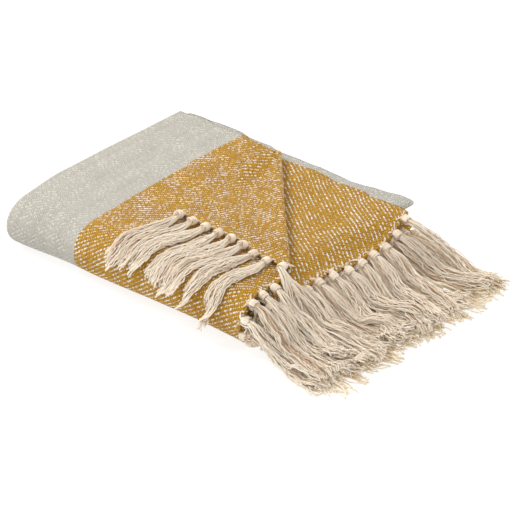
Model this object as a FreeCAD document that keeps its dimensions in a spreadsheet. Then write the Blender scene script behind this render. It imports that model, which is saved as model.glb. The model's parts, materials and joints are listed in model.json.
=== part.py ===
import FreeCAD, Part
import Sketcher

import math
import os

# A throw blanket folded in four lengthwise and in four widthwise, sixteen layers high.
# +X points to the fringed side, +Y to the back, +Z up; the origin is the centre of the footprint.
# Layer 1 is the outermost: layers 1 to 4 turn round the front fold outside layers 5 to 8.

DOC = FreeCAD.newDocument("folded_throw")
V = FreeCAD.Vector

# ---------------------------------------------------------------- driving dimensions

SIZES = {
    "LayerPitch": 4.2,          # height that one folded layer takes up
    "LayerThick": 3.9,          # cloth with its pile; the rest of the pitch is air
    "LeftEnd": -263.0,          # outermost point of the turns at the left end
    "FringeEdge": 122.0,        # woven edge that carries the tassels
    "GreyInset": 15.0,          # the grey middle turns back this far inside the fringe edge
    "FrontFold": -121.5,        # centre line of the front folds
    "BackFold": 142.5,          # centre line of the back folds
    "TopSelvage": 145.0,        # back edge of the top layer
    "SecondSelvage": 142.0,     # back edge of the layer under it
    "GreySelvage": 157.0,       # back edge of the grey layers and of the inner layers
    "CreaseStart": -63.0,       # where the turned-back corner's crease meets the fringe edge
    "FlapCornerX": -71.0,       # free corner of the turned-back corner
    "FlapCornerY": -53.0,
    "FlapGap": 0.3,             # clearance between the flap and the layer it lies on
    "TasselPitch": 22.7,
    "KnotRadius": 4.0,
    "KnotLength": 12.0,
    "TailWidth": 9.0,           # at the tip
    "TailNeck": 5.0,            # where it leaves the knot
    "TailThick": 3.0,           # at the tip
    "FringeReach": 141.0,       # how far the longest tails reach past the fringe edge
}

sheet = DOC.addObject("Spreadsheet::Sheet", "Sizes")
for row, (alias, value) in enumerate(SIZES.items(), start=1):
    sheet.set(f"A{row}", alias)
    sheet.set(f"B{row}", str(value))
    sheet.setAlias(f"B{row}", alias)
DOC.recompute()


def size(alias):
    return float(sheet.get(alias))


pitch = size("LayerPitch")
thick = size("LayerThick")
left_end = size("LeftEnd")
fringe_edge = size("FringeEdge")
front_y = size("FrontFold")
back_y = size("BackFold")
knot_r = size("KnotRadius")
knot_len = size("KnotLength")
tassel_pitch = size("TasselPitch")

LAYERS = 8
FOLD_Z = LAYERS * pitch                              # height of the front folds' centre line
STACK_TOP = 2 * FOLD_Z
turn_r = (3 * pitch + thick) / 2                     # outer radius of the turn at the left end
flats_left = left_end + turn_r                       # where the flat layers start
grey_turn_r = (pitch + thick) / 2
grey_edge = fringe_edge - size("GreyInset") - grey_turn_r
back_fold_z = (7 * pitch + thick) / 2

# ---------------------------------------------------------------- the eight nested layers

LAYER_NAMES = [
    "outer_layer", "second_layer", "third_layer", "fourth_layer",
    "fifth_layer", "sixth_layer", "seventh_layer", "core_layer",
]
UPPER_EDGE = ["TopSelvage", "SecondSelvage"] + ["GreySelvage"] * 6
FRINGED = {1, 2, 7, 8}                               # layers that end in the fringe edge


def origin_plane(body, role):
    return next(f for f in body.Origin.OriginFeatures if f.Role == role)


def u_profile(sketch, r_out, r_in, upper, lower):
    """Closed section of one layer: upper arm, half-turn round the origin, lower arm."""
    up, down = math.pi / 2, 3 * math.pi / 2
    axis = V(0, 0, 1)
    points = [
        (V(0, r_out, 0), V(upper, r_out, 0)), (V(upper, r_out, 0), V(upper, r_in, 0)),
        (V(upper, r_in, 0), V(0, r_in, 0)), (V(0, -r_in, 0), V(lower, -r_in, 0)),
        (V(lower, -r_in, 0), V(lower, -r_out, 0)), (V(lower, -r_out, 0), V(0, -r_out, 0)),
    ]
    for a, b in points:
        sketch.addGeometry(Part.LineSegment(a, b), False)
    outer = sketch.addGeometry(Part.ArcOfCircle(Part.Circle(V(0, 0, 0), axis, r_out), up, down), False)
    inner = sketch.addGeometry(Part.ArcOfCircle(Part.Circle(V(0, 0, 0), axis, r_in), up, down), False)
    add = sketch.addConstraint
    rule = Sketcher.Constraint
    for arc in (outer, inner):
        add(rule("Coincident", arc, 3, -1, 1))
    for a, a_end, b, b_end in ((0, 2, 1, 1), (1, 2, 2, 1), (3, 2, 4, 1), (4, 2, 5, 1)):
        add(rule("Coincident", a, a_end, b, b_end))
    arm_ends = [(0, 1, outer, 1), (5, 2, outer, 2), (2, 2, inner, 1), (3, 1, inner, 2)]
    for line, line_end, arc, arc_end in arm_ends:
        add(rule("Tangent", line, line_end, arc, arc_end))
    for line in (0, 2, 3, 5):
        add(rule("Horizontal", line))
    for line in (1, 4):
        add(rule("Vertical", line))
    radius_out = add(rule("Radius", outer, r_out))
    radius_in = add(rule("Radius", inner, r_in))
    reach_up = add(rule("DistanceX", -1, 1, 1, 1, upper))
    reach_down = add(rule("DistanceX", -1, 1, 4, 1, lower))
    return radius_out, radius_in, reach_up, reach_down


def layer_body(number):
    """Layer 1 is the outermost: a sheet that runs over the front fold and back underneath."""
    name = LAYER_NAMES[number - 1]
    turns = LAYERS + 1 - number
    edge = UPPER_EDGE[number - 1]
    right = fringe_edge if number in FRINGED else grey_edge
    body = DOC.addObject("PartDesign::Body", name)
    body.Label = name
    sketch = body.newObject("Sketcher::SketchObject", name + "_section")
    sketch.AttachmentSupport = (origin_plane(body, "YZ_Plane"), [""])
    sketch.MapMode = "FlatFace"
    r_out = turns * pitch
    dims = u_profile(sketch, r_out, r_out - thick, size(edge) - front_y, back_y - front_y)
    texts = [
        f"Sizes.LayerPitch * {turns}",
        f"Sizes.LayerPitch * {turns} - Sizes.LayerThick",
        f"Sizes.{edge} - Sizes.FrontFold",
        "Sizes.BackFold - Sizes.FrontFold",
    ]
    for index, text in zip(dims, texts):
        sketch.setExpression(f"Constraints[{index}]", text)
    pad = body.newObject("PartDesign::Pad", name + "_width")
    pad.Profile = sketch
    turn = "(3 * Sizes.LayerPitch + Sizes.LayerThick) / 2"
    reach = f"Sizes.FringeEdge - Sizes.LeftEnd - {turn}"
    if number not in FRINGED:
        reach += " - Sizes.GreyInset - (Sizes.LayerPitch + Sizes.LayerThick) / 2"
    pad.Length = right - flats_left
    pad.setExpression("Length", reach)
    body.Placement = FreeCAD.Placement(V(flats_left, front_y, FOLD_Z), FreeCAD.Rotation())
    body.setExpression("Placement.Base.x", f"Sizes.LeftEnd + {turn}")
    body.setExpression("Placement.Base.y", "Sizes.FrontFold")
    body.setExpression("Placement.Base.z", f"Sizes.LayerPitch * {LAYERS}")
    DOC.recompute()
    return body


def triangle(sketch, corners):
    """Closed right-angled triangle, its corners fixed by distances from the sketch's origin."""
    rule = Sketcher.Constraint
    for i in range(3):
        sketch.addGeometry(Part.LineSegment(corners[i], corners[(i + 1) % 3]), False)
    for i in range(3):
        sketch.addConstraint(rule("Coincident", i, 2, (i + 1) % 3, 1))
    for i in range(3):
        sketch.addConstraint(rule("DistanceX", -1, 1, i, 1, corners[i].x))
        sketch.addConstraint(rule("DistanceY", -1, 1, i, 1, corners[i].y))


# The crease runs at 45 degrees: x + y is the same all along it.
crease_sum = fringe_edge + size("CreaseStart")
CREASE_CLEAR = 2.0                                   # each side of the crease line, along X


def cut_corner(body):
    """Takes the turned-back corner out of the top layer's upper arm."""
    sketch = body.newObject("Sketcher::SketchObject", "corner_outline")
    sketch.AttachmentSupport = (origin_plane(body, "XY_Plane"), [""])
    sketch.MapMode = "FlatFace"
    margin = 4.0
    far_x = fringe_edge - flats_left + margin
    far_y = size("TopSelvage") - front_y + margin
    start = crease_sum - CREASE_CLEAR - flats_left - front_y
    triangle(sketch, [V(far_x, far_y, 0), V(start - far_y, far_y, 0), V(far_x, start - far_x, 0)])
    before = body.Shape.Volume
    least_cut = 1000                                 # cubic millimetres
    pocket = body.newObject("PartDesign::Pocket", "corner_cut")
    pocket.Profile = sketch
    pocket.Type = 1                                  # through all
    pocket.Reversed = True                           # upwards only
    DOC.recompute()
    if body.Shape.Volume > before - least_cut:
        raise RuntimeError("the corner was not cut from the outer layer")


layers = [layer_body(number) for number in range(1, LAYERS + 1)]
cut_corner(layers[0])

# ---------------------------------------------------------------- folds of the cloth

def half_ring(x, z, outer_r, opens_left):
    """Half-ring in the XZ plane: cloth turning back on itself round (x, z)."""
    inner_r = outer_r - thick
    side = 1 if opens_left else -1
    top_out, top_in = V(x, 0, z + outer_r), V(x, 0, z + inner_r)
    low_out, low_in = V(x, 0, z - outer_r), V(x, 0, z - inner_r)
    edges = [
        Part.Arc(top_out, V(x + side * outer_r, 0, z), low_out).toShape(),
        Part.LineSegment(low_out, low_in).toShape(),
        Part.Arc(low_in, V(x + side * inner_r, 0, z), top_in).toShape(),
        Part.LineSegment(top_in, top_out).toShape(),
    ]
    return Part.Face(Part.Wire(edges))


def end_fold(name, x, outer_layer, inner_layer, opens_left):
    """The turn that joins two layers at one end, all the way along the widthwise folds."""
    def levels(a, b):
        return (min(a, b) + max(a, b) + thick) / 2, (abs(b - a) + thick) / 2

    def lying(section_z, outer_r, y_from, y_to):
        face = half_ring(x, section_z, outer_r, opens_left)
        face.translate(V(0, y_from, 0))
        return face.extrude(V(0, y_to - y_from, 0))

    def turning(section_z, outer_r, y, axis_z, angle):
        face = half_ring(x, section_z, outer_r, opens_left)
        face.translate(V(0, y, 0))
        return face.revolve(V(0, y, axis_z), V(1, 0, 0), angle)

    pieces = []
    nested = (LAYERS - 1 - inner_layer, LAYERS - 1 - outer_layer)
    for upper, lower in ((outer_layer, inner_layer), nested):
        z, outer_r = levels(upper * pitch, lower * pitch)
        top_z = STACK_TOP - z
        near_top = not opens_left and upper < LAYERS / 2
        upper_edge = size("SecondSelvage") if near_top else size("GreySelvage")
        pieces.append(lying(z, outer_r, front_y, back_y))
        pieces.append(turning(z, outer_r, front_y, FOLD_Z, -180))
        pieces.append(lying(top_z, outer_r, front_y, upper_edge))
    z, outer_r = levels(outer_layer * pitch, inner_layer * pitch)
    pieces.append(turning(z, outer_r, back_y, back_fold_z, 180))
    fold = DOC.addObject("Part::Feature", name)
    fold.Label = name
    fold.Shape = pieces[0].multiFuse(pieces[1:]).removeSplitter()
    return fold


end_fold("outer_left_end_fold", flats_left, 0, 3, False)
end_fold("inner_left_end_fold", flats_left, 1, 2, False)
end_fold("right_end_fold", grey_edge, 2, 3, True)


def back_fold(number):
    """Half-turn that joins lower panel `number` to the lower panel that lies on the nest."""
    outer_r = back_fold_z - (number - 1) * pitch
    right = fringe_edge if number in FRINGED else grey_edge
    x_axis = V(1, 0, 0)
    centre = V(flats_left, back_y, back_fold_z)
    outer = Part.makeCylinder(outer_r, right - flats_left, centre, x_axis)
    inner = Part.makeCylinder(outer_r - thick, right - flats_left, centre, x_axis)
    behind = Part.makeBox(right - flats_left, outer_r, 2 * outer_r, centre - V(0, 0, outer_r))
    return outer.cut(inner).common(behind)


back_folds = DOC.addObject("Part::Feature", "back_folds")
back_folds.Label = "back_folds"
back_folds.Shape = Part.makeCompound([back_fold(number) for number in range(1, 5)])

# ---------------------------------------------------------------- the turned-back corner

flap_x = size("FlapCornerX")
flap_y = size("FlapCornerY")
CORNER_TASSELS = 8
flap_leg = CORNER_TASSELS * tassel_pitch
flap_z = STACK_TOP + size("FlapGap")

flap = DOC.addObject("PartDesign::Body", "corner_flap")
flap.Label = "corner_flap"
flap_sketch = flap.newObject("Sketcher::SketchObject", "flap_outline")
flap_sketch.AttachmentSupport = (origin_plane(flap, "XY_Plane"), [""])
flap_sketch.MapMode = "FlatFace"
triangle(flap_sketch, [V(0, 0, 0), V(flap_leg, 0, 0), V(0, flap_leg, 0)])
for constraint_index in (5, 8):
    flap_sketch.setExpression(f"Constraints[{constraint_index}]", f"Sizes.TasselPitch * {CORNER_TASSELS}")
flap_pad = flap.newObject("PartDesign::Pad", "flap_cloth")
flap_pad.Profile = flap_sketch
flap_pad.setExpression("Length", "Sizes.LayerThick")
flap.Placement = FreeCAD.Placement(V(flap_x, flap_y, flap_z), FreeCAD.Rotation())
flap.setExpression("Placement.Base.x", "Sizes.FlapCornerX")
flap.setExpression("Placement.Base.y", "Sizes.FlapCornerY")
flap.setExpression("Placement.Base.z", f"Sizes.LayerPitch * {2 * LAYERS} + Sizes.FlapGap")
DOC.recompute()

# ---------------------------------------------------------------- tassels

def knot_solid():
    """Barrel knot along +X from the cloth's edge, a little fuller in the middle."""
    end_r = 0.72 * knot_r
    outline = Part.Wire([
        Part.LineSegment(V(0, 0, 0), V(0, 0, end_r)).toShape(),
        Part.Arc(V(0, 0, end_r), V(knot_len / 2, 0, knot_r), V(knot_len, 0, end_r)).toShape(),
        Part.LineSegment(V(knot_len, 0, end_r), V(knot_len, 0, 0)).toShape(),
        Part.LineSegment(V(knot_len, 0, 0), V(0, 0, 0)).toShape(),
    ])
    return Part.Face(outline).revolve(V(0, 0, 0), V(1, 0, 0), 360)


def flat_section(x, z, width, height):
    """Upright oblong section across the tail."""
    corners = [(-1, -1), (1, -1), (1, 1), (-1, 1), (-1, -1)]
    return Part.makePolygon([V(x, i * width / 2, z + j * height / 2) for i, j in corners])


def tail_solid(length, drop):
    """Loose tail that leaves the knot, spreads and flattens."""
    neck = flat_section(knot_len - 1.0, 0, size("TailNeck"), 0.8 * size("TailNeck"))
    tip = flat_section(length, -drop, size("TailWidth"), size("TailThick"))
    return Part.makeLoft([neck, tip], True, True)


def tassel_shape(y, z, reach, tip_z):
    """One tassel of a fringe row: knot at (fringe edge, y, z), tip at `reach` past the edge."""
    shape = knot_solid().fuse(tail_solid(reach, z - tip_z))
    shape.translate(V(fringe_edge, y, z))
    return shape


def add_shape(name, shape):
    feature = DOC.addObject("Part::Feature", name)
    feature.Label = name
    feature.Shape = shape
    return feature


def lane(first, stop):
    """Places along Y, one tassel pitch apart, from `first` back to `stop`."""
    count = int((first - stop) / tassel_pitch) + 1
    return [first - i * tassel_pitch for i in range(count)]


# Rows next to each other are half a pitch out of step, so knots and tails pass between each other.
even_lane_y = back_y - 12.0
odd_lane_y = even_lane_y - tassel_pitch / 2
flat_from = front_y + 2.0
reach_far = size("FringeReach")
layer_mid = thick / 2
ROWS = [
    # name, height of the row, first place, tip height, reach short of the longest
    ("fringe_row_1", knot_r + 0.2, even_lane_y, 2.0, 0.0),
    ("fringe_row_2", pitch + layer_mid, odd_lane_y, 2.0, 1.0),
    ("fringe_row_3", 6 * pitch + layer_mid, even_lane_y, 6.0, 5.0),
    ("fringe_row_4", 7 * pitch + layer_mid, odd_lane_y, 6.0, 6.0),
    ("fringe_row_5", 8 * pitch + layer_mid, even_lane_y, 11.0, 9.0),
    ("fringe_row_6", 9 * pitch + layer_mid, odd_lane_y + tassel_pitch, 11.0, 10.0),
]
for name, z, first, tip_z, short in ROWS:
    row = [tassel_shape(y, z, reach_far - short, tip_z) for y in lane(first, flat_from)]
    add_shape(name, Part.makeCompound(row))

HIGH_SHORT = 19.0                                    # the highest tails fall furthest
HIGH_TIP_Z = 17.5
second_z = 14 * pitch + layer_mid
for i, y in enumerate(lane(even_lane_y, flat_from), start=1):
    add_shape(f"second_row_tassel_{i}", tassel_shape(y, second_z, reach_far - HIGH_SHORT, HIGH_TIP_Z))

top_z = 15 * pitch + layer_mid
top_places = [y for y in lane(odd_lane_y, flat_from) if y < size("CreaseStart") - knot_r]
for i, y in enumerate(top_places, start=1):
    add_shape(f"top_row_tassel_{i}", tassel_shape(y, top_z, reach_far - HIGH_SHORT, HIGH_TIP_Z))

# Round the front fold the two outermost layers carry seven more, in order from the top down.
FOLD_TASSELS = 7
FOLD_STEP = 20.5                                     # degrees between one and the next
FOLD_FIRST = 16.0
LYING_TIP_Z = 2.2                                    # height of the lowest tip's middle
TIP_STEP = 3.9                                       # tips lie on each other
fold_radii = [FOLD_Z - layer_mid, FOLD_Z - pitch - layer_mid]
for i in range(FOLD_TASSELS):
    angle = math.radians(FOLD_FIRST + i * FOLD_STEP)
    radius = fold_radii[i % 2]
    y = front_y - radius * math.sin(angle)
    z = FOLD_Z + radius * math.cos(angle)
    above = FOLD_TASSELS - 1 - i
    tip_z = LYING_TIP_Z + TIP_STEP * above
    add_shape(f"front_fold_tassel_{i + 1}", tassel_shape(y, z, reach_far - 3.0 * above, tip_z))

# Round the back folds there are three.
back_radii = [back_fold_z - layer_mid, back_fold_z - pitch - layer_mid, back_fold_z - layer_mid]
back_places = []
for i, radius in enumerate(back_radii):
    above = len(back_radii) - 1 - i
    angle = math.radians(45 + 45 * i)
    y = back_y + radius * math.sin(angle)
    z = back_fold_z + radius * math.cos(angle)
    tip_z = LYING_TIP_Z + TIP_STEP * above
    back_places.append(tassel_shape(y, z, reach_far - 5.0 * above, tip_z))
add_shape("back_fold_tassels", Part.makeCompound(back_places))

# The corner's own tassels: a knot and the start of the tail lie on the top layer, and the end of
# the tail, a piece of its own, hangs over the front fold.
tail_half = 1.75                                     # half the tail's height
bend_y = front_y + 3.0
bend_z = STACK_TOP + 0.5 + tail_half
BEND_CLEAR = 3.0                                     # each side of the line where a tail bends
WRAP_ANGLE = 95                                      # how far a tail's end follows the front fold
knot_z = STACK_TOP + size("FlapGap") + knot_r


def corner_tassel(x):
    """Knot and straight tail along -Y from the flap's fringed edge."""
    knot = knot_solid()
    knot.rotate(V(0, 0, 0), V(0, 0, 1), -90)
    knot.translate(V(x, flap_y, knot_z))
    tail_from = flap_y - knot_len + 1.0
    tail_to = bend_y + BEND_CLEAR
    width = size("TailNeck")
    tail_corner = V(x - width / 2, tail_to, bend_z - tail_half)
    tail = Part.makeBox(width, tail_from - tail_to, 2 * tail_half, tail_corner)
    return knot.fuse(tail)


def corner_tassel_end(x):
    """End of the tail, curved round the front fold."""
    width = size("TailWidth") - 2.0
    mid_r = bend_z - FOLD_Z
    outline = Part.Face(Part.Wire([
        Part.LineSegment(V(0, 0, mid_r - tail_half), V(0, 0, mid_r + tail_half)).toShape(),
        Part.LineSegment(V(0, 0, mid_r + tail_half), V(width, 0, mid_r + tail_half)).toShape(),
        Part.LineSegment(V(width, 0, mid_r + tail_half), V(width, 0, mid_r - tail_half)).toShape(),
        Part.LineSegment(V(width, 0, mid_r - tail_half), V(0, 0, mid_r - tail_half)).toShape(),
    ]))
    bent = outline.revolve(V(0, 0, 0), V(1, 0, 0), WRAP_ANGLE)
    bent.translate(V(x - width / 2, front_y, FOLD_Z))
    return bent


for i in range(CORNER_TASSELS):
    x = flap_x + (i + 0.5) * tassel_pitch
    add_shape(f"corner_tassel_{i + 1}", corner_tassel(x))
    add_shape(f"corner_tassel_end_{i + 1}", corner_tassel_end(x))

# ---------------------------------------------------------------- check and write

DOC.recompute()
bodies = [o for o in DOC.Objects if o.TypeId in ("PartDesign::Body", "Part::Feature")]
for item in DOC.Objects:
    if "Invalid" in item.State or "Error" in item.State:
        raise RuntimeError(f"{item.Label} failed: {item.State}")
os.makedirs("parts", exist_ok=True)
for item in bodies:
    if item.Shape.isNull() or not item.Shape.isValid():
        raise RuntimeError(f"{item.Label} has no valid shape")
    item.Shape.exportStep(f"parts/{item.Label}.step")
print(len(bodies), "sub-parts written")
whole = Part.makeCompound([item.Shape for item in bodies]).optimalBoundingBox(False, False)
print("X", round(whole.XMin, 2), round(whole.XMax, 2), "Y", round(whole.YMin, 2), round(whole.YMax, 2),
      "Z", round(whole.ZMin, 2), round(whole.ZMax, 2))
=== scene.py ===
import json
import math

import bpy
import numpy as np
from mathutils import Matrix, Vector


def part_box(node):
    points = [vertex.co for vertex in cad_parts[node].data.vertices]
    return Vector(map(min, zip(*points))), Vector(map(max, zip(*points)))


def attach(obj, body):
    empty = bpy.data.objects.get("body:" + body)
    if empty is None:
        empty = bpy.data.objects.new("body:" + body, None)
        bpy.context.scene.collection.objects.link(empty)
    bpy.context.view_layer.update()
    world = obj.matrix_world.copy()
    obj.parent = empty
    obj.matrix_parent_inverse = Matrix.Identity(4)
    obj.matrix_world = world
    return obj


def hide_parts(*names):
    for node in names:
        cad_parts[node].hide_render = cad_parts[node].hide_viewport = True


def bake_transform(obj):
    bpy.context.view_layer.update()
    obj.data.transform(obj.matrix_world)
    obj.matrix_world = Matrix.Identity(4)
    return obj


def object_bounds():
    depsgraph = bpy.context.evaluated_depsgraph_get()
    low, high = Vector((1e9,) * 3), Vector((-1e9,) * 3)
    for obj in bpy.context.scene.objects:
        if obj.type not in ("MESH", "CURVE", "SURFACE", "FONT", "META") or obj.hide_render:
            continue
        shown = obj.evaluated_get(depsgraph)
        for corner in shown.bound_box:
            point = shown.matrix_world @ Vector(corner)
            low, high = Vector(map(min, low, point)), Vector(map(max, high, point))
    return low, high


# Looks of a folded throw: one woven cloth folded into sixteen layers, a turned-back corner, and
# knotted tassels along both fringed edges. Geometry is worked out in millimetres in the CAD frame.

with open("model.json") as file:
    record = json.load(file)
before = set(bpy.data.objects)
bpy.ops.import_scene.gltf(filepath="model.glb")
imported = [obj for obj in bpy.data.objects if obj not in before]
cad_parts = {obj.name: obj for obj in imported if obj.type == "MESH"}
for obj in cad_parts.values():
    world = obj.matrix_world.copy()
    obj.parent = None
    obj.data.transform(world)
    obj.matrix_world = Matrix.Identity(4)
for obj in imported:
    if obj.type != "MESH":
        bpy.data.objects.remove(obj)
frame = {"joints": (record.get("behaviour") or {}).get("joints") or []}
cad_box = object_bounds()
rng = np.random.default_rng(184)
MM = 0.001


def box_mm(node):
    low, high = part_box(node)
    return np.array(low) / MM, np.array(high) / MM


# ---------------------------------------------------------------- sizes read from the frame

outer_low, outer_high = box_mm("outer_layer")
back_high = box_mm("back_folds")[1]
flap_low, flap_high = box_mm("corner_flap")
LAYERS = 8
STACK_TOP = outer_high[2]
PITCH = STACK_TOP / (2 * LAYERS)
FOLD_Z = STACK_TOP / 2
FRINGE_X = outer_high[0]
FLATS_LEFT = outer_low[0]
FRONT_Y = outer_low[1] + FOLD_Z
BACK_FOLD_Z = back_high[2] / 2
BACK_Y = back_high[1] - BACK_FOLD_Z
LAYER_THICK = flap_high[2] - flap_low[2]
TURN_R = (3 * PITCH) / 2
GREY_X = box_mm("right_end_fold")[1][0] - (PITCH + LAYER_THICK) / 2
SELVAGE_Y = [box_mm(n)[1][1] for n in ("outer_layer", "second_layer", "third_layer", "fourth_layer")]
INNER_SELVAGE_Y = box_mm("core_layer")[1][1]
REACH = cad_box[1][0] / MM - FRINGE_X
crease = next(j for j in frame["joints"] if j["name"] == "corner_turn")
CREASE_SUM = (crease["pos_m"][0] + crease["pos_m"][1]) / MM
TASSEL_PITCH = 22.7
CLOTH = 2.8                        # thickness of the cloth as seen
YELLOW_BAND = 276.0                # mustard at each end of the throw


def smooth(x):
    """Soft step: 0 below 0, 1 above 1."""
    x = np.clip(x, 0, 1)
    return x * x * (3 - 2 * x)


def waves(count, low, high, seed):
    """Smooth noise over the plane: returns f(x, y), about -1 to 1, from `count` sine waves."""
    draw = np.random.default_rng(seed)
    angle = draw.uniform(0, 2 * math.pi, count)
    length = draw.uniform(low, high, count)
    phase = draw.uniform(0, 2 * math.pi, count)

    def value(x, y):
        total = 0
        for a, wavelength, p in zip(angle, length, phase):
            run = x * math.cos(a) + y * math.sin(a)
            total = total + np.sin(2 * math.pi * run / wavelength + p)
        return total / math.sqrt(count)
    return value


# ---------------------------------------------------------------- the fold of the cloth

def depth(layer):
    """Depth of a layer's middle below the outside of the stack."""
    return layer * PITCH + LAYER_THICK / 2


FRINGED_RUN = FRINGE_X - FLATS_LEFT
GREY_RUN = GREY_X - FLATS_LEFT
SMALL_R = PITCH / 2
LENGTHS = [
    FRINGED_RUN, math.pi * TURN_R, GREY_RUN, math.pi * SMALL_R, GREY_RUN, math.pi * SMALL_R, FRINGED_RUN,
]
ENDS = np.concatenate([[0], np.cumsum(LENGTHS)])


def lengthwise(s):
    """Distance along the throw to (x, depth below the outside of the stack)."""
    x, w = np.zeros_like(s), np.zeros_like(s)
    part = np.clip(np.searchsorted(ENDS, s, side="right") - 1, 0, 6)
    d = s - ENDS[part]
    turns = [
        (0, FRINGE_X, -1, depth(0)), (2, FLATS_LEFT, 1, depth(3)),
        (4, GREY_X, -1, depth(2)), (6, FLATS_LEFT, 1, depth(1)),
    ]
    for index, start, way, level in turns:
        at = part == index
        x[at], w[at] = start + way * d[at], level
    for index, centre, way, radius, upper, lower in (
        (1, FLATS_LEFT, -1, TURN_R, 0, 3),
        (3, GREY_X, 1, SMALL_R, 3, 2),
        (5, FLATS_LEFT, -1, SMALL_R, 2, 1),
    ):
        at = part == index
        angle = d[at] / radius
        middle = (depth(upper) + depth(lower)) / 2
        x[at] = centre + way * radius * np.sin(angle)
        w[at] = middle + (depth(upper) - middle) * np.cos(angle)
    return x, w


FRONT_ARC = math.pi * (FOLD_Z - depth(0))
BACK_ARC = math.pi * (BACK_FOLD_Z - depth(0))
INNER_R = 8.0                      # the inner layers' turn at the front
INNER_ARC = math.pi * INNER_R
WIDTHS = [
    SELVAGE_Y[0] - FRONT_Y, FRONT_ARC, BACK_Y - FRONT_Y, BACK_ARC, BACK_Y - FRONT_Y, INNER_ARC,
    INNER_SELVAGE_Y - FRONT_Y,
]
SEAMS = np.concatenate([[0], np.cumsum(WIDTHS)])


def widthwise(t, w):
    """Distance across the throw, at depth w, to (y, z)."""
    part = np.clip(np.searchsorted(SEAMS, t, side="right") - 1, 0, 6)
    f = (t - SEAMS[part]) / np.array(WIDTHS)[part]
    selvage = np.interp(w, [depth(i) for i in range(4)], SELVAGE_Y)
    half = math.pi * f
    front_r, back_r, inner_r = FOLD_Z - w, BACK_FOLD_Z - w, w + FOLD_Z - 2 * BACK_FOLD_Z
    options = [
        (selvage + f * (FRONT_Y - selvage), STACK_TOP - w),
        (FRONT_Y - front_r * np.sin(half), FOLD_Z + front_r * np.cos(half)),
        (FRONT_Y + f * (BACK_Y - FRONT_Y), w),
        (BACK_Y + back_r * np.sin(half), BACK_FOLD_Z - back_r * np.cos(half)),
        (BACK_Y + f * (FRONT_Y - BACK_Y), 2 * BACK_FOLD_Z - w),
        (FRONT_Y - inner_r * np.sin(half), FOLD_Z - inner_r * np.cos(half)),
        (FRONT_Y + f * (INNER_SELVAGE_Y - FRONT_Y), FOLD_Z + inner_r),
    ]
    y = np.choose(part, [np.broadcast_to(o[0], t.shape) for o in options])
    z = np.choose(part, [np.broadcast_to(o[1], t.shape) for o in options])
    return y, z, part


FLAP_TAKE_UP = 0.885               # ripples draw the turned corner in
FLAP_SINK = 1.0                    # the soft corner presses into the layer it lies on
ROLL_R = 4.6                       # radius of the soft roll along the crease
ROOT2 = math.sqrt(2)


def turn_corner(x, y, z, top_layer):
    """Turns the corner of the top layer back over the crease, round a soft roll."""
    past = (x + y - CREASE_SUM) / ROOT2 + ROLL_R
    along = (y - x) / ROOT2
    arc = math.pi * ROLL_R
    angle = np.clip(past / ROLL_R, 0, math.pi)
    over = np.maximum(past - arc, 0)
    over = over * (1 - (1 - FLAP_TAKE_UP) * smooth(over / 90))
    e = np.where(past < 0, past, np.sin(angle) * ROLL_R - over) - ROLL_R
    settled = flap_low[2] + LAYER_THICK / 2 - FLAP_SINK - z
    rise = np.where(past < arc, ROLL_R * (1 - np.cos(angle)), 0)
    rise = np.where(past >= arc, settled + (2 * ROLL_R - settled) * np.exp(-(over / 16) ** 2), rise)
    diagonal = CREASE_SUM / ROOT2
    turned_x = (diagonal + e - along) / ROOT2
    turned_y = (diagonal + e + along) / ROOT2
    turned = top_layer & (past > 0)
    x = np.where(turned, turned_x, x)
    y = np.where(turned, turned_y, y)
    z = np.where(turned, z + rise, z)
    return x, y, z, np.where(top_layer, past, -1.0)


stack_noise = waves(7, 90, 260, 3)
edge_noise = waves(6, 25, 90, 5)
edge_noise_2 = waves(6, 35, 120, 8)
flap_ripple = waves(6, 28, 80, 31)


def settle(x, y, z):
    """The whole stack: thinner to the left and at the front left corner, gently uneven."""
    left = smooth((30 - x) / 290)
    front = smooth((-60 - y) / 90)
    back = smooth((y - 20) / 120)
    left_corner = smooth((-150 - x) / 110) * front
    swell = 1 - 0.02 * left - 0.03 * left * (1 - back) - 0.02 * left * front - 0.05 * left_corner
    swell = swell + 0.012 * stack_noise(x, y) * smooth((20 - x) / 120)
    x = x + left * (0.5 + 9.5 * smooth((20 - y) / 180)) + 5 * left_corner
    drawn_in = 5 * smooth((x + 60) / 120) * front + 3 * back * (1 + left)
    y = y - 8 * left_corner - 5 * smooth((-20 - x) / 100) * front + drawn_in
    return x, y, z * swell


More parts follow.
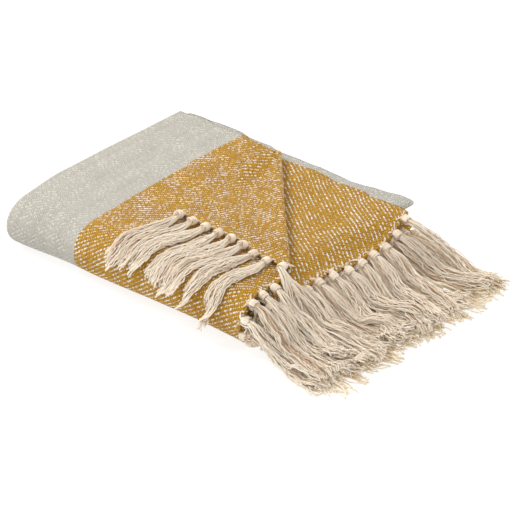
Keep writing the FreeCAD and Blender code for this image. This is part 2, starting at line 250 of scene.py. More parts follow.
def cloth_point(s, t):
    """Place of the cloth's middle surface, with the loosened and uneven edges."""
    x, w = lengthwise(s)
    y, z, strip = widthwise(t, w)
    from_fringe = np.minimum(s, ENDS[-1] - s)
    first_end = s < ENDS[-1] / 2
    knot = np.cos(2 * math.pi * (t / TASSEL_PITCH - 0.5))
    near = np.exp(-from_fringe / 8)
    loose = np.exp(-from_fringe / 30)
    top_layer = (s < ENDS[1]) & (strip == 0)
    second = (~first_end) & (s > ENDS[6]) & (strip == 0)
    row_seed = strip * 61.0 + np.where(first_end, 0, 23.0)
    # Between knots the edge bulges; at each knot the warp ends draw it together.
    lift = near * (0.9 * knot + 0.5 * edge_noise(t, row_seed))
    x = x + near * (1.4 * edge_noise_2(t, row_seed) - 1.6 * knot) * (from_fringe < 60)
    # The layers' edges don't lie exactly over each other.
    x = x + loose * 3.0 * edge_noise_2(t * 0.5, row_seed + 11)
    # The second layer, uncovered by the turned-back corner, slips out and hangs over the grey folds.
    middle = smooth((150 - y) / 70) * smooth((y + 150) / 60)
    out = smooth((x - (FRINGE_X - 60)) / 60)
    x = x + np.where(second, 10 * out * middle, 0)
    z = z - np.where(second, 17 * smooth((x - (FRINGE_X - 26)) / 42) * middle, 0)
    z = z - np.where(top_layer, 5 * smooth((x - (FRINGE_X - 22)) / 30), 0)
    # Selvage edges wander a little.
    from_selvage = np.minimum(t, SEAMS[-1] - t)
    wander = np.exp(-from_selvage / 25)
    y = y + wander * 2.2 * edge_noise(s, 0.0)
    # The grey folds bulge out at the back, beside the turned-back corner.
    grey = (s > ENDS[2]) & (s < ENDS[5]) & (strip == 0)
    bulge = smooth((x - 10) / 80) * np.exp(-(from_selvage / 26) ** 2)
    y = y + np.where(grey, 3.5 * wander + 13 * bulge, 0)
    x, y, z, past = turn_corner(x, y, z, top_layer)
    z = z + np.where(strip == 2, np.abs(lift) * 0.3, lift)
    flap_lift = smooth((past - 90) / 60) * 0.5 + near * 0.8
    # The corner's selvage stands up where it leaves the crease.
    ridge = 12.0 * np.exp(-(from_selvage / 17) ** 2) * np.exp(-((past - 42) / 32) ** 2)
    ripple = 0.7 * flap_ripple(s, t) * smooth((past - 20) / 30)
    z = z + np.where(past > 20, flap_lift + ridge + ripple, 0)
    # The corner and the stack under it sink and swell together.
    x, y, z = settle(x, y, z)
    return np.stack([x, y, z], -1), past


def ticks(stops):
    """Grid lines: a list of (start, end, spacing) joined into one increasing array."""
    lines = [np.linspace(a, b, max(2, int(round((b - a) / step)) + 1))[:-1] for a, b, step in stops]
    return np.concatenate(lines + [[stops[-1][1]]])


def cloth_grid():
    """Grid lines along and across the throw: close together at its edges, turns and corner."""
    e, q = ENDS, SEAMS
    s = ticks([
        (e[0], 12, 2.4), (12, 232, 3.4), (232, e[1], 9), (e[1], e[2], 2.9), (e[2], e[3], 17),
        (e[3], e[4], 1.7), (e[4], e[5], 17), (e[5], e[6], 1.7), (e[6], e[7] - 70, 12),
        (e[7] - 70, e[7] - 14, 5), (e[7] - 14, e[7], 2.4),
    ])
    t = ticks([
        (q[0], q[1], 3.7), (q[1], q[2], 4.6), (q[2], q[3], 5.8), (q[3], q[4], 5.0), (q[4], q[5], 5.8),
        (q[5], q[6], 5.0), (q[6], q[7], 5.8),
    ])
    return np.meshgrid(s, t, indexing="ij")


def normals_of(grid):
    """Normal of the sheet at each grid point."""
    ds = np.gradient(grid, axis=0)
    dt = np.gradient(grid, axis=1)
    n = np.cross(dt, ds)
    return n / np.maximum(np.linalg.norm(n, axis=-1, keepdims=True), 1e-9)


def new_mesh(name, verts, faces):
    """Smooth mesh object from points in millimetres and an n by 4 array of quads."""
    mesh = bpy.data.meshes.new(name)
    verts = np.asarray(verts, float) * MM
    faces = np.asarray(faces, np.int32)
    mesh.vertices.add(len(verts))
    mesh.vertices.foreach_set("co", verts.astype(np.float32).ravel())
    mesh.loops.add(faces.size)
    mesh.loops.foreach_set("vertex_index", faces.ravel())
    mesh.polygons.add(len(faces))
    mesh.polygons.foreach_set("loop_start", np.arange(0, faces.size, faces.shape[1], dtype=np.int32))
    mesh.polygons.foreach_set("loop_total", np.full(len(faces), faces.shape[1], dtype=np.int32))
    mesh.polygons.foreach_set("use_smooth", np.ones(len(faces), dtype=bool))
    mesh.update(calc_edges=True)
    mesh.validate()
    made = bpy.data.objects.new(name, mesh)
    bpy.context.scene.collection.objects.link(made)
    return made


def vector_attribute(obj, name, values):
    """Three numbers kept at each vertex, for the materials to read."""
    made = obj.data.attributes.new(name, "FLOAT_VECTOR", "POINT")
    made.data.foreach_set("vector", np.asarray(values, np.float32).ravel())


def thick_sheet(name, middle, normal, coords, keep, rounded):
    """Closed cloth: both faces of the kept grid cells, and a rim round every open edge."""
    rows, cols = middle.shape[:2]
    index = np.arange(rows * cols).reshape(rows, cols)
    flat_mid, flat_n = middle.reshape(-1, 3), normal.reshape(-1, 3)
    upper, lower = flat_mid + CLOTH / 2 * flat_n, flat_mid - CLOTH / 2 * flat_n
    quads = np.stack([index[:-1, :-1], index[1:, :-1], index[1:, 1:], index[:-1, 1:]], -1)[keep]
    count = rows * cols
    faces = [quads[:, ::-1], quads + count]
    edges = np.concatenate([quads[:, [0, 1]], quads[:, [1, 2]], quads[:, [2, 3]], quads[:, [3, 0]]])
    key = np.sort(edges, axis=1)
    code = key[:, 0].astype(np.int64) * count + key[:, 1]
    _, first, counts = np.unique(code, return_index=True, return_counts=True)
    open_edges = edges[first[counts == 1]]
    # Rim: a middle line pushed outwards, so the edge is round like a selvage.
    push = np.zeros((count, 3))
    tangent = flat_mid[open_edges[:, 1]] - flat_mid[open_edges[:, 0]]
    outward = np.cross(tangent, flat_n[open_edges[:, 0]])
    outward /= np.maximum(np.linalg.norm(outward, axis=1, keepdims=True), 1e-9)
    for end in (0, 1):
        np.add.at(push, open_edges[:, end], outward)
    push /= np.maximum(np.linalg.norm(push, axis=1, keepdims=True), 1e-9)
    swell = 0.5 * CLOTH * rounded.reshape(-1, 1)
    rim = flat_mid + push * swell
    a, b = open_edges[:, 0], open_edges[:, 1]
    faces.append(np.stack([a, b, b + 2 * count, a + 2 * count], -1))
    faces.append(np.stack([a + 2 * count, b + 2 * count, b + count, a + count], -1))
    faces = np.concatenate(faces)
    verts = np.concatenate([upper, lower, rim])
    used, compact = np.unique(faces, return_inverse=True)
    made = new_mesh(name, verts[used], compact.reshape(faces.shape))
    three = np.tile(coords.reshape(-1, 3), (3, 1))
    vector_attribute(made, "cloth", three[used])
    return made


# ---------------------------------------------------------------- materials

def new_material(name, roughness, sheen):
    """Dull material with a little fibre sheen: the material, its nodes and its shader."""
    made = bpy.data.materials.new(name)
    made.use_nodes = True
    shader = made.node_tree.nodes["Principled BSDF"]
    shader.inputs["Roughness"].default_value = roughness
    shader.inputs["Specular IOR Level"].default_value = 0.18
    shader.inputs["Sheen Weight"].default_value = sheen
    shader.inputs["Sheen Roughness"].default_value = 0.6
    return made, made.node_tree, shader


class Maths:
    """Short names for the shader's maths nodes."""

    def __init__(self, tree):
        self.tree = tree

    def node(self, kind, **inputs):
        made = self.tree.nodes.new(kind)
        for name, value in inputs.items():
            self.put(made.inputs[name], value)
        return made

    def put(self, socket, value):
        if isinstance(value, bpy.types.NodeSocket):
            self.tree.links.new(value, socket)
        else:
            socket.default_value = value

    def __call__(self, operation, a, b=0.0, c=0.0, clamp=False):
        made = self.tree.nodes.new("ShaderNodeMath")
        made.operation = operation
        made.use_clamp = clamp
        for socket, value in zip(made.inputs, (a, b, c)):
            self.put(socket, value)
        return made.outputs[0]

    def mix(self, factor, a, b):
        made = self.tree.nodes.new("ShaderNodeMix")
        made.data_type = "RGBA"
        self.put(made.inputs[0], factor)
        self.put(made.inputs[6], a)
        self.put(made.inputs[7], b)
        return made.outputs[2]

    def noise(self, vector, scale, detail=2.0, rough=0.5):
        made = self.node("ShaderNodeTexNoise", Vector=vector, Scale=scale, Detail=detail, Roughness=rough)
        return made.outputs[0]

    def random(self, a, b):
        joined = self.node("ShaderNodeCombineXYZ", X=a, Y=b, Z=0.0)
        made = self.tree.nodes.new("ShaderNodeTexWhiteNoise")
        made.noise_dimensions = "3D"
        self.tree.links.new(joined.outputs[0], made.inputs[0])
        return made.outputs[0]


PICK_PITCH = 2.07                  # along the throw, one weft yarn
END_PITCH = 1.45                   # across the throw, one warp yarn
TWILL_REPEAT = 4                   # yarns over which the pattern of two over, two under comes back
MUSTARD = (0.62, 0.345, 0.024, 1)
MUSTARD_DEEP = (0.37, 0.175, 0.008, 1)
CREAM = (0.97, 0.96, 0.93, 1)
CREAM_DEEP = (0.66, 0.60, 0.49, 1)
GREY = (0.44, 0.425, 0.378, 1)
GREY_PALE = (0.63, 0.61, 0.555, 1)
# colour of the painted shade in the gaps between yarns
CLOTH_GAP_SHADE = (0.10, 0.052, 0.008, 1)


def weave_material():
    """2/2 twill: thick coloured weft over and under two cream warp ends at a time."""
    made, tree, shader = new_material("twill", 0.95, 0.04)
    m = Maths(tree)
    place = tree.nodes.new("ShaderNodeAttribute")
    place.attribute_name = "cloth"
    parts = m.node("ShaderNodeSeparateXYZ", Vector=place.outputs["Vector"])
    along, across = parts.outputs[0], parts.outputs[1]
    bend_noise = m("SUBTRACT", m.noise(place.outputs["Vector"], 0.03), 0.5)
    warp_bend = m("MULTIPLY", bend_noise, 1.2)
    along_n = m("DIVIDE", m("ADD", along, warp_bend), PICK_PITCH)
    across_n = m("DIVIDE", m("ADD", across, warp_bend), END_PITCH)
    pick, end = m("FLOOR", along_n), m("FLOOR", across_n)
    turn = 2 * math.pi / TWILL_REPEAT

    def crown(value):
        """Round section of one yarn: 1 at its middle, 0 at its sides."""
        off = m("SUBTRACT", m("FRACT", value), 0.5)
        drop = m("MULTIPLY", m("MULTIPLY", off, off), 3.8)
        return m("SQRT", m("SUBTRACT", 1.0, drop, clamp=True))

    weft_wave = m("COSINE", m("MULTIPLY", m("SUBTRACT", m("SUBTRACT", across_n, pick), 1.0), turn))
    warp_wave = m("COSINE", m("MULTIPLY", m("SUBTRACT", along_n, end), turn))
    thick_weft = m("MULTIPLY_ADD", m.random(pick, 3.0), 0.35, 0.95)
    weft_h = m("MULTIPLY_ADD", crown(along_n), thick_weft, m("MULTIPLY", weft_wave, 0.55))
    warp_h = m("MULTIPLY_ADD", crown(across_n), 0.66, m("MULTIPLY", warp_wave, -0.55))
    # Uneven spinning: in places the weft is thick and hides the warp, in others it thins out.
    streak_place = m.node(
        "ShaderNodeCombineXYZ", X=m("MULTIPLY", along, 0.6), Y=m("MULTIPLY", across, 0.3), Z=0.0)
    streak = m("SUBTRACT", m.noise(streak_place.outputs[0], 1.0, 2.0, 0.6), 0.5)
    cloud = m("SUBTRACT", m.noise(place.outputs["Vector"], 0.035, 2.0), 0.5)
    float_index = m("FLOOR", m("DIVIDE", m("SUBTRACT", across_n, pick), float(TWILL_REPEAT)))
    per_float = m("SUBTRACT", m.random(pick, float_index), 0.5)
    uneven = m("MULTIPLY_ADD", streak, 3.4, m("MULTIPLY_ADD", cloud, 1.3, 0.64))
    uneven = m("MULTIPLY_ADD", per_float, 1.2, uneven)
    above = m("ADD", m("SUBTRACT", weft_h, warp_h), uneven)
    weft_on_top = m("MULTIPLY_ADD", above, 7.0, 0.5, clamp=True)
    height = m("MAXIMUM", weft_h, warp_h)

    # Where the weft changes from mustard to grey.
    other_end = m("SUBTRACT", float(ENDS[-1]), along)
    from_end = m("MINIMUM", along, other_end)
    wobble = m("MULTIPLY", bend_noise, 9.0)
    bow = m("MINIMUM", m("MULTIPLY", across, 0.045), 13.0)
    shifted = m("ADD", m("ADD", from_end, wobble), bow)
    is_grey = m("MULTIPLY_ADD", m("SUBTRACT", shifted, YELLOW_BAND), 0.8, 0.5, clamp=True)

    slub = m.noise(place.outputs["Vector"], 0.9, 3.0, 0.65)
    patch = m.noise(place.outputs["Vector"], 0.02, 2.0)
    per_pick = m.random(pick, 17.0)
    depth_mix = m("MULTIPLY_ADD", slub, 0.7, m("MULTIPLY_ADD", per_pick, 0.35, -0.2))
    depth_mix = m("MULTIPLY_ADD", per_float, 0.5, depth_mix, clamp=True)
    mustard = m.mix(depth_mix, MUSTARD_DEEP, MUSTARD)
    grey = m.mix(depth_mix, GREY, GREY_PALE)
    weft = m.mix(is_grey, mustard, grey)
    warp_tone = m("MULTIPLY_ADD", m.random(end, 5.0), 0.5, m("MULTIPLY", slub, 0.5))
    warp_colour = m.mix(warp_tone, CREAM_DEEP, CREAM)
    warp_colour = m.mix(m("MULTIPLY", is_grey, 0.72), warp_colour, GREY_PALE)
    colour = m.mix(weft_on_top, warp_colour, weft)
    # Painted shade: the gaps between yarns are darkened, most of all between the thick weft yarns.
    shade = m("MULTIPLY_ADD", height, 1.1, m("MULTIPLY_ADD", weft_on_top, -0.4, 0.2), clamp=True)
    shade = m("MULTIPLY", shade, m("MULTIPLY_ADD", patch, 0.16, 0.94))
    tree.links.new(m.mix(shade, CLOTH_GAP_SHADE, colour), shader.inputs["Base Color"])
    fuzz = m.noise(place.outputs["Vector"], 2.6, 2.0)
    total = m("MULTIPLY_ADD", fuzz, 0.25, height)
    bump = m.node("ShaderNodeBump", Strength=0.75, Distance=0.75 * MM, Height=total)
    tree.links.new(bump.outputs[0], shader.inputs["Normal"])
    return made


YARN = (1.0, 0.905, 0.765, 1)
# colour of the low-toned strands: random darker yarns and the painted shade inside each bundle
YARN_WARM_SHADE = (0.50, 0.26, 0.105, 1)
# The low rows' yarn is a paler golden copy of the fringe yarn: painted light against the shade those rows
# lie in.
YARN_GOLDEN = (1.0, 0.89, 0.70, 1)
YARN_GOLDEN_DEEP = (0.86, 0.59, 0.28, 1)
# colour of the painted shade in the grooves between plies
PLY_GROOVE_SHADE = (0.30, 0.19, 0.09, 1)
PLY_TWIST = 2.4                    # length of one turn of the two plies


def yarn_material(name, pale, deep):
    """Spun cream yarn: two twisted plies, each strand its own tone; low tones paint the shade inside a
    bundle.
    """
    made, tree, shader = new_material(name, 0.9, 0.08)
    m = Maths(tree)
    place = tree.nodes.new("ShaderNodeAttribute")
    place.attribute_name = "strand"
    parts = m.node("ShaderNodeSeparateXYZ", Vector=place.outputs["Vector"])
    along, around, tone = parts.outputs[0], parts.outputs[1], parts.outputs[2]
    ply = m("SINE", m("MULTIPLY_ADD", along, 2 * math.pi / PLY_TWIST, m("MULTIPLY", around, 2.0)))
    speckle = m.noise(place.outputs["Vector"], 0.8, 2.0)
    tone_and_shade = m("MULTIPLY_ADD", m("SUBTRACT", speckle, 0.5), 0.6, tone, clamp=True)
    colour = m.mix(tone_and_shade, deep, pale)
    # Painted shade in the grooves between the two plies.
    shade = m("MULTIPLY_ADD", ply, 0.05, 0.95)
    tree.links.new(m.mix(shade, PLY_GROOVE_SHADE, colour), shader.inputs["Base Color"])
    bump = m.node("ShaderNodeBump", Strength=0.5, Distance=0.3 * MM, Height=ply)
    tree.links.new(bump.outputs[0], shader.inputs["Normal"])
    return made


# ---------------------------------------------------------------- yarns and tassels

def frames_along(path):
    """Two cross directions at each point of a path, to its side and upwards."""
    tangent = np.gradient(path, axis=0)
    tangent /= np.maximum(np.linalg.norm(tangent, axis=1, keepdims=True), 1e-9)
    up = np.array([0.0, 0.0, 1.0])
    side = np.cross(tangent, up)
    weak = np.linalg.norm(side, axis=1) < 0.15
    side[weak] = np.cross(tangent[weak], np.array([1.0, 0.0, 0.0]))
    side /= np.maximum(np.linalg.norm(side, axis=1, keepdims=True), 1e-9)
    return side, np.cross(side, tangent)


FLOOR_GAP = 0.15                   # yarns lie this far above the floor


class Yarns:
    """Gathers tubes, then makes one mesh of them."""

    def __init__(self):
        self.verts, self.faces, self.marks, self.count = [], [], [], 0

    def add(self, path, radius, tone, sides=6):
        """One tube along a path, with a flat cap at each end; `sides` is even."""
        n = len(path)
        side, rise = frames_along(path)
        radius = np.broadcast_to(radius, (n,))
        tone = np.broadcast_to(tone, (n,))
        angle = np.arange(sides) * 2 * math.pi / sides
        cosine, sine = np.cos(angle)[None, :, None], np.sin(angle)[None, :, None]
        ring = side[:, None, :] * cosine + rise[:, None, :] * sine
        verts = path[:, None, :] + ring * radius[:, None, None]
        length = np.concatenate([[0], np.cumsum(np.linalg.norm(np.diff(path, axis=0), axis=1))])
        marks = np.stack([np.repeat(length, sides), np.tile(angle, n), np.repeat(tone, sides)], -1)
        i = np.arange(n - 1)[:, None] * sides
        j = np.arange(sides)[None, :]
        k = (j + 1) % sides
        quads = np.stack([i + j, i + sides + j, i + sides + k, i + k], -1).reshape(-1, 4)
        tips = np.array([[n * sides, 0], [n * sides + 1, (n - 1) * sides]])
        caps = []
        for (tip, first), turned in zip(tips, (False, True)):
            for c in range(0, sides - 1, 2):
                a, b, d = first + c, first + c + 1, first + (c + 2) % sides
                caps.append([tip, d, b, a] if turned else [tip, a, b, d])
        closed = [verts.reshape(-1, 3), path[:1], path[-1:]]
        self.verts.append(np.concatenate(closed))
        self.marks.append(np.concatenate([marks, [[0, 0, tone[0]], [length[-1], 0, tone[-1]]]]))
        self.faces.append(np.concatenate([quads, np.array(caps)]) + self.count)
        self.count += n * sides + 2

    def build(self, name, material):
        verts = np.concatenate(self.verts)
        verts[:, 2] = np.maximum(verts[:, 2], FLOOR_GAP)
        made = new_mesh(name, verts, np.concatenate(self.faces))
        vector_attribute(made, "strand", np.concatenate(self.marks))
        made.data.materials.append(material)
        return made


KNOT_LENGTH = 12.0
KNOT_R = 5.0
KNOT_STRANDS = 6
KNOT_TURNS = 1.3                   # how far each strand is wound round the bundle


def knot(yarns, start, way, draw):
    """Tight knot: strands wound slantwise round the bundle, over a darker core that paints the shade
    between them.
    """
    way = way / np.linalg.norm(way)
    side = np.cross(way, [0, 0, 1.0])
    side = side / max(np.linalg.norm(side), 1e-6)
    rise = np.cross(side, way)
    core = start + way * np.linspace(-1.0, KNOT_LENGTH + 1.5, 9)[:, None]
    bulge = np.sin(np.linspace(0.12, 0.9, 9) * math.pi)
    # The core's dark tone is painted shade in the gaps between the wound strands.
    yarns.add(core, 1.6 + 1.9 * bulge, 0.35, 8)
    spin = draw.uniform(0, 2 * math.pi) + 0.3
    hand = 1 if draw.random() < 0.85 else -1
    f = np.linspace(0, 1, 19)
    angle = spin + hand * 2 * math.pi * KNOT_TURNS * f
    ring = side[None] * np.cos(angle)[:, None] + rise[None] * np.sin(angle)[:, None]
    for i in range(KNOT_STRANDS):
        # Wound turns: each strand lies beside the one before and dives in at both ends.
        centre = KNOT_LENGTH * (0.16 + 0.68 * (i + 0.5) / KNOT_STRANDS) + 2.6 * (f - 0.5)
        radius = KNOT_R - 1.2 + 0.9 * np.sin(math.pi * centre / KNOT_LENGTH)
        radius = radius - 1.8 * (1 - np.minimum(1, np.minimum(f, 1 - f) / 0.1))
        path = start + way * centre[:, None] + ring * radius[:, None]
        yarns.add(path, 1.0, draw.uniform(0.62, 1.0))


def gather(yarns, start, way, along_edge, normal, draw):
    """Warp ends that leave the cloth's edge on both sides of a knot and run together into it."""
    u = np.linspace(0, 1, 6)[:, None]
    for f in np.linspace(-1, 1, 9):
        f = f + draw.normal(0, 0.05)
        root = start - way * (2.5 + 1.5 * abs(f)) + along_edge * f * 9.0 + normal * draw.normal(0, 0.35)
        tip = start + way * 2.0 + along_edge * f * 1.8 + normal * draw.normal(0, 0.7)
        path = root * (1 - u) + tip * u + normal * 0.8 * np.sin(math.pi * u)
        yarns.add(path, 0.72, draw.uniform(0.5, 1.0), 4)


YARN_R = 0.66
YARN_WAVES = ((30, 55, 1.1), (11, 18, 0.5), (6, 9, 0.2))     # shortest, longest and size of each wave
FRAY = 9.0                         # length of the frayed tip


def tail(yarns, line, draw, strands, width, high, sides=4, stray=0.05):
    """Loose yarns round a centre line: they spread, wave, and end unevenly."""
    n = len(line)
    side, rise = frames_along(line)
    f = np.linspace(0, 1, n)
    step = np.linalg.norm(np.diff(line, axis=0), axis=1).mean()
    run = np.arange(n) * step
    for _ in range(strands):
        u, v = draw.uniform(-1, 1), draw.uniform(-1, 1)
        outward = math.hypot(u, v)
        v = v * math.sqrt(1 - 0.8 * u * u)
        loose = 2.6 if draw.random() < stray else 1.0
        end = min(n, max(6, int(n * draw.uniform(0.9, 1.03))))
        spread = 3.0 + (width - 3.0) * (0.55 * smooth(f / 0.2) + 0.45 * smooth(f / 0.9))
        spread = spread + 0.9 * loose * f ** 2 * abs(draw.normal(0, 1))
        flat = high * (0.8 + 0.2 * smooth(f / 0.2) - 0.45 * smooth((f - 0.5) / 0.5))
        wave = np.zeros((2, n))
        for axis in (0, 1):
            lengths = [draw.uniform(low, top) for low, top, _ in YARN_WAVES]
            for length, (_, _, size) in zip(lengths, YARN_WAVES):
                wave[axis] += size * np.sin(2 * math.pi * run / length + draw.uniform(0, 2 * math.pi))
        grow = (0.2 + 0.8 * smooth(f / 0.3)) * loose
        path = line + side * (u * spread + wave[0] * grow * 1.25)[:, None]
        path = path + rise * (v * flat + wave[1] * grow * 0.45)[:, None]
        frayed = smooth((run - run[end - 1] + FRAY) / FRAY)
        path = path + side * (draw.normal(0, 1.6) * frayed)[:, None]
        path = path + rise * (abs(draw.normal(0, 1.3)) * frayed)[:, None]
        radius = YARN_R * (1 + 0.3 * frayed)
        # Painted shade: the yarns inside the bundle are toned darker, those round its outside the palest.
        tone = 0.14 + 0.85 * outward + draw.uniform(-0.24, 0.24)
        tone = np.clip(tone + 0.5 * frayed, 0.0, 1.0)
        yarns.add(path[:end], radius[:end], tone[:end], sides)


# The pile of fringe on the floor: what each new tail comes to rest on.
CELL = 2.0
pile_x = np.arange(FRINGE_X - 20, FRINGE_X + 190, CELL)
pile_y = np.arange(-230, 230, CELL)
pile = np.zeros((len(pile_x), len(pile_y)))


def pile_at(x, y):
    """Height of the pile at a place."""
    i = int(np.clip(round((x - pile_x[0]) / CELL), 0, len(pile_x) - 1))
    j = int(np.clip(round((y - pile_y[0]) / CELL), 0, len(pile_y) - 1))
    return pile[i, j]


def add_to_pile(line, half_width, thickness):
    """Raises the pile under a new tail."""
    for k, (x, y, z) in enumerate(line):
        f = k / len(line)
        wide = half_width * (0.5 + 0.5 * min(1, f / 0.4))
        i = np.abs(pile_x - x) <= CELL
        j = np.abs(pile_y - y) <= wide
        area = np.ix_(i, j)
        fall = 1 - ((pile_y[j] - y) / (wide + 1)) ** 2
        pile[area] = np.maximum(pile[area], z + thickness * fall[None, :] * 0.5)


TAIL_STEP = 4.0
PILE_BACK = cad_box[1][1] / MM + 5


def falling_line(start, heading, length, drop_length, draw, half_thick):
    """Centre line of a limp tail: it falls from its knot and comes to rest on what lies below."""
    n = int(length / TAIL_STEP)
    turn = draw.normal(0, 0.07)
    bend_rate = draw.normal(0, 0.0016)
    wiggle = draw.uniform(0, 2 * math.pi)
    points = [np.array(start, float)]
    gone = 0.0
    for k in range(1, n):
        angle = heading + turn + bend_rate * gone + 0.10 * math.sin(2 * math.pi * gone / 70 + wiggle)
        last = points[-1]
        step = TAIL_STEP
        for _ in range(4):
            x = last[0] + step * math.cos(angle)
            y = last[1] + step * math.sin(angle)
            far = gone + step
            free = start[2] * math.exp(-(far / drop_length) ** 1.7)
            z = max(free, pile_at(x, y) + half_thick)
            slope = (z - last[2]) / step
            step = TAIL_STEP / math.sqrt(1 + slope * slope)
        gone += step
        points.append(np.array([x, min(y, PILE_BACK), z]))
    line = np.array(points)
    for _ in range(3):
        line[1:-1, 2] = (line[:-2, 2] + 2 * line[1:-1, 2] + line[2:, 2]) / 4
    return line


def edge_frame(s_end, t):
    """Where a knot sits on the fringed edge: place, outward way, direction along the edge, normal."""
    inner = s_end + (3.0 if s_end == 0 else -3.0)
    s = np.array([s_end, inner, s_end, s_end])
    points, _ = cloth_point(s, np.array([t, t, t - 1.0, t + 1.0]))
    way = points[0] - points[1]
    way /= np.linalg.norm(way)
    along_edge = points[3] - points[2]
    along_edge /= np.linalg.norm(along_edge)
    normal = np.cross(way, along_edge)
    if normal[2] < 0:
        normal = -normal
    return points[0], way, along_edge, normal


yarn = yarn_material("fringe_cream", YARN, YARN_WARM_SHADE)
# paler copy of the fringe yarn for the low rows: painted light
yarn_low_lit = yarn_material("fringe_golden_lit", YARN_GOLDEN, YARN_GOLDEN_DEEP)
twill = weave_material()

# Tassels on one end of the throw, by their distance across it; first end is the outer layer's.
places = (np.arange(int(SEAMS[-1] / TASSEL_PITCH)) + 0.5) * TASSEL_PITCH
strip_of = np.searchsorted(SEAMS, places, side="right") - 1
LAST_S = ENDS[-1]
CORNER_COUNT = 8


def root_tassel(yarns, s_end, t, draw, strands, width, high):
    """One tassel of a row on the right side: warp ends, knot, and a tail that falls onto the pile."""
    place, way, along_edge, normal = edge_frame(s_end, t)
    way = way + np.array([0, 0, -0.12])
    way /= np.linalg.norm(way)
    knot_start = place + way * 1.2
    gather(yarns, place, way, along_edge, normal, draw)
    knot(yarns, knot_start, way, draw)
    start = knot_start + way * (KNOT_LENGTH - 2.5)
    start[2] = max(start[2], 3.0)
    front = smooth((-70 - place[1]) / 90)
    back = smooth((place[1] - 70) / 90)
    low = smooth((45 - place[2]) / 25)
    heading = math.atan2(way[1], way[0]) * 0.3 + front * (0.06 * low + 0.01) + back * (0.34 - 0.26 * low)
    length = REACH - KNOT_LENGTH + 5 + 11 * low + draw.normal(0, 4)
    drop = 26 + 0.42 * place[2] + 30 * back * (1 - low) + draw.normal(0, 3)
    line = falling_line(start, heading, length, drop, draw, 0.8 * high)
    tail(yarns, line, draw, strands, width, high)
    add_to_pile(line, width, high)


# Width and height of a tail's bundle: thin in the hidden rows, full in the two top rows.
LOW_BUNDLE = (9.0, 2.4)
TOP_BUNDLE = (8.0, 4.6)
CORNER_BUNDLE = (11.0, 3.2)
TOP_STRANDS = 42
CORNER_STRANDS = 46

rows = [
    # strip, end of the throw, piece, CAD nodes that it stands for, strands, material
    (2, 0.0, "fringe_row_1_yarns", ["fringe_row_1"], 14, yarn_low_lit),
    (2, LAST_S, "fringe_row_2_yarns", ["fringe_row_2"], 14, yarn_low_lit),
    (3, 0.0, "back_fold_yarns", ["back_fold_tassels"], 16, yarn_low_lit),
    (4, LAST_S, "fringe_row_3_yarns", ["fringe_row_3"], 14, yarn_low_lit),
    (4, 0.0, "fringe_row_4_yarns", ["fringe_row_4"], 14, yarn),
    (6, 0.0, "fringe_row_5_yarns", ["fringe_row_5"], 18, yarn),
    (6, LAST_S, "fringe_row_6_yarns", ["fringe_row_6"], 18, yarn),
    (1, LAST_S, "front_fold_inner_yarns", [f"front_fold_tassel_{i}" for i in (2, 4, 6)], 20, yarn),
    (1, 0.0, "front_fold_outer_yarns", [f"front_fold_tassel_{i}" for i in (1, 3, 5, 7)], 24, yarn),
]
for strip, s_end, name, nodes, strands, material in rows:
    yarns = Yarns()
    order = [t for t, k in zip(places, strip_of) if k == strip or (strip == 3 and k == 5)]
    if strip == 1:
        order = order[::-1]
    if strip == 3:
        for t in order:
            root_tassel(yarns, LAST_S, t, rng, strands, *LOW_BUNDLE)
    for t in order:
        root_tassel(yarns, s_end, t, rng, strands, *LOW_BUNDLE)
    piece = yarns.build(name, material)
    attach(piece, "folded_stack")
    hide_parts(*nodes)

second_places = places[strip_of == 0]
for i, t in enumerate(second_places, start=1):
    yarns = Yarns()
    root_tassel(yarns, LAST_S, t, rng, TOP_STRANDS, *TOP_BUNDLE)
    piece = yarns.build(f"second_row_yarns_{i}", yarn)
    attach(piece, "folded_stack")
    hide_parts(f"second_row_tassel_{min(i, 12)}")

yarns = Yarns()
for t in second_places[CORNER_COUNT:]:
    root_tassel(yarns, 0.0, t, rng, TOP_STRANDS, *TOP_BUNDLE)
piece = yarns.build("top_row_yarns", yarn)
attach(piece, "folded_stack")
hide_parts("top_row_tassel_1", "top_row_tassel_2")


def corner_line(start, length, slant, draw):
    """From the corner's edge over the top of the stack, round the front fold and down."""
    lie = 3.0
    radius = FOLD_Z + lie
    n = int(length / TAIL_STEP)
    x, gone_flat = start[0], start[1] - FRONT_Y
    wiggle = draw.uniform(0, 2 * math.pi)
    points = []
    for k in range(n):
        run = k * TAIL_STEP
        swing = slant + 0.10 * math.sin(2 * math.pi * run / 80 + wiggle)
        x += TAIL_STEP * math.sin(swing) * (1 if k else 0)
        forward = run * math.cos(slant)
        if forward < gone_flat:
            y, z = start[1] - forward, STACK_TOP + lie
            z += (start[2] - z) * math.exp(-run / 9)
        else:
            # A little past upright the tail leaves the fold and hangs.
            turned = (forward - gone_flat) / radius
            held = min(turned, math.radians(96))
            y = FRONT_Y - radius * math.sin(held)
            z = FOLD_Z + radius * math.cos(held) - radius * (turned - held)
        points.append([x, y, z])
    line = np.array(points)
    sx, sy, sz = settle(line[:, 0], line[:, 1], line[:, 2])
    return np.stack([sx, sy, sz], -1)


for i in range(1, CORNER_COUNT + 1):
    t = places[i - 1]
    place, way, along_edge, normal = edge_frame(0.0, t)
    knot_start = place + way * 1.2
    yarns = Yarns()
    gather(yarns, place, way, along_edge, normal, rng)
    knot_start[2] = max(knot_start[2], STACK_TOP + KNOT_R - 1.0)
    knot(yarns, knot_start, way, rng)
    piece = yarns.build(f"corner_knot_{i}", yarn)
    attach(piece, "turned_corner")
    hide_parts(f"corner_tassel_{i}")
    yarns = Yarns()
    start = knot_start + way * (KNOT_LENGTH - 2.5)
    length = 109 + 2.6 * i + rng.normal(0, 3)
    slant = math.radians(-11) + rng.normal(0, 0.05)
    line = corner_line(start, length, slant, rng)
    tail(yarns, line, rng, CORNER_STRANDS, *CORNER_BUNDLE)
    piece = yarns.build(f"corner_tail_{i}", yarn)
    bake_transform(piece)
    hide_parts(f"corner_tassel_end_{i}")

# ---------------------------------------------------------------- the cloth

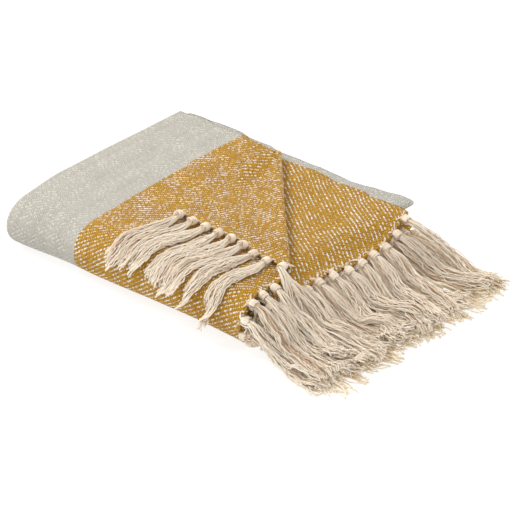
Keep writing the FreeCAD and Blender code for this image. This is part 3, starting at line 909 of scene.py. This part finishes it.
grid_s, grid_t = cloth_grid()
middle, past = cloth_point(grid_s, grid_t)
normal = normals_of(middle)
middle[..., 2] = np.maximum(middle[..., 2], CLOTH / 2 + 0.05)
coords = np.stack([grid_s, grid_t, np.zeros_like(grid_s)], -1)
cell_past = np.minimum.reduce([past[:-1, :-1], past[1:, :-1], past[:-1, 1:], past[1:, 1:]])
on_edge = np.zeros(grid_s.shape)
on_edge[0, :] = on_edge[-1, :] = 1
on_edge[:, 0] = on_edge[:, -1] = 1
in_flap = cell_past > 0

cloth = thick_sheet("throw_cloth", middle, normal, coords, ~in_flap, on_edge)
cloth.data.materials.append(twill)
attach(cloth, "folded_stack")
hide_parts("outer_layer", "second_layer", "third_layer", "fourth_layer", "fifth_layer",
            "sixth_layer", "seventh_layer", "core_layer", "outer_left_end_fold", "inner_left_end_fold",
            "right_end_fold", "back_folds")

corner = thick_sheet("turned_back_corner", middle, normal, coords, in_flap, on_edge)
corner.data.materials.append(twill)
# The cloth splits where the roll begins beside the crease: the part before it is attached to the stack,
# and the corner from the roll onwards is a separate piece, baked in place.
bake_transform(corner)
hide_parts("corner_flap")

# ---------------------------------------------------------------- floor, light and camera

FLOOR_HALF = 6.0
floor_corners = [(FLOOR_HALF * i, FLOOR_HALF * j, 0) for i, j in ((-1, -1), (1, -1), (1, 1), (-1, 1))]
floor_mesh = bpy.data.meshes.new("floor")
floor_mesh.from_pydata(floor_corners, [], [(0, 1, 2, 3)])
floor = bpy.data.objects.new("floor", floor_mesh)
bpy.context.scene.collection.objects.link(floor)
floor_material, _, floor_shader = new_material("floor_white", 0.9, 0.0)
floor_shader.inputs["Base Color"].default_value = (0.22, 0.22, 0.215, 1)
floor_shader.inputs["Emission Color"].default_value = (1.0, 0.99, 0.98, 1)
floor_shader.inputs["Emission Strength"].default_value = 0.84
floor_mesh.materials.append(floor_material)

world = bpy.data.worlds.new("studio")
world.use_nodes = True
world.node_tree.nodes["Background"].inputs["Color"].default_value = (1.0, 0.99, 0.97, 1)
world.node_tree.nodes["Background"].inputs["Strength"].default_value = 0.62
bpy.context.scene.world = world


def facing(place, target):
    """Rotation that points a lamp or the camera from its place at a target."""
    return (Vector(target) - Vector(place)).to_track_quat("-Z", "Y").to_euler()


def area_light(name, place, size, power, colour):
    """Square lamp, in metres and watts, that points at the middle of the throw."""
    data = bpy.data.lights.new(name, "AREA")
    data.size = size
    data.energy = power
    data.color = colour
    lamp = bpy.data.objects.new(name, data)
    lamp.location = place
    lamp.rotation_euler = facing(place, (0, 0, 0))
    bpy.context.scene.collection.objects.link(lamp)


area_light("key", (-1.5, -0.6, 1.75), 1.1, 41, (1.0, 0.99, 0.965))
area_light("back", (0.7, 2.1, 0.5), 1.0, 23, (1.0, 0.99, 0.97))
area_light("fill", (1.4, -1.6, 1.3), 1.4, 11.5, (1.0, 0.98, 0.95))

AZIMUTH, ELEVATION = math.radians(42.65), math.radians(30.2)
DISTANCE = 3.0
AIM = (0.0077, 0.0061, 0.0134)
camera_data = bpy.data.cameras.new("camera")
camera_data.lens = 176
camera_data.sensor_width = 36
camera = bpy.data.objects.new("camera", camera_data)
away = np.array([
    math.sin(AZIMUTH) * math.cos(ELEVATION), -math.cos(AZIMUTH) * math.cos(ELEVATION), math.sin(ELEVATION),
])
camera.location = np.array(AIM) + DISTANCE * away
camera.rotation_euler = facing(camera.location, AIM)
bpy.context.scene.collection.objects.link(camera)
bpy.context.scene.camera = camera
bpy.context.scene.view_settings.view_transform = "Standard"
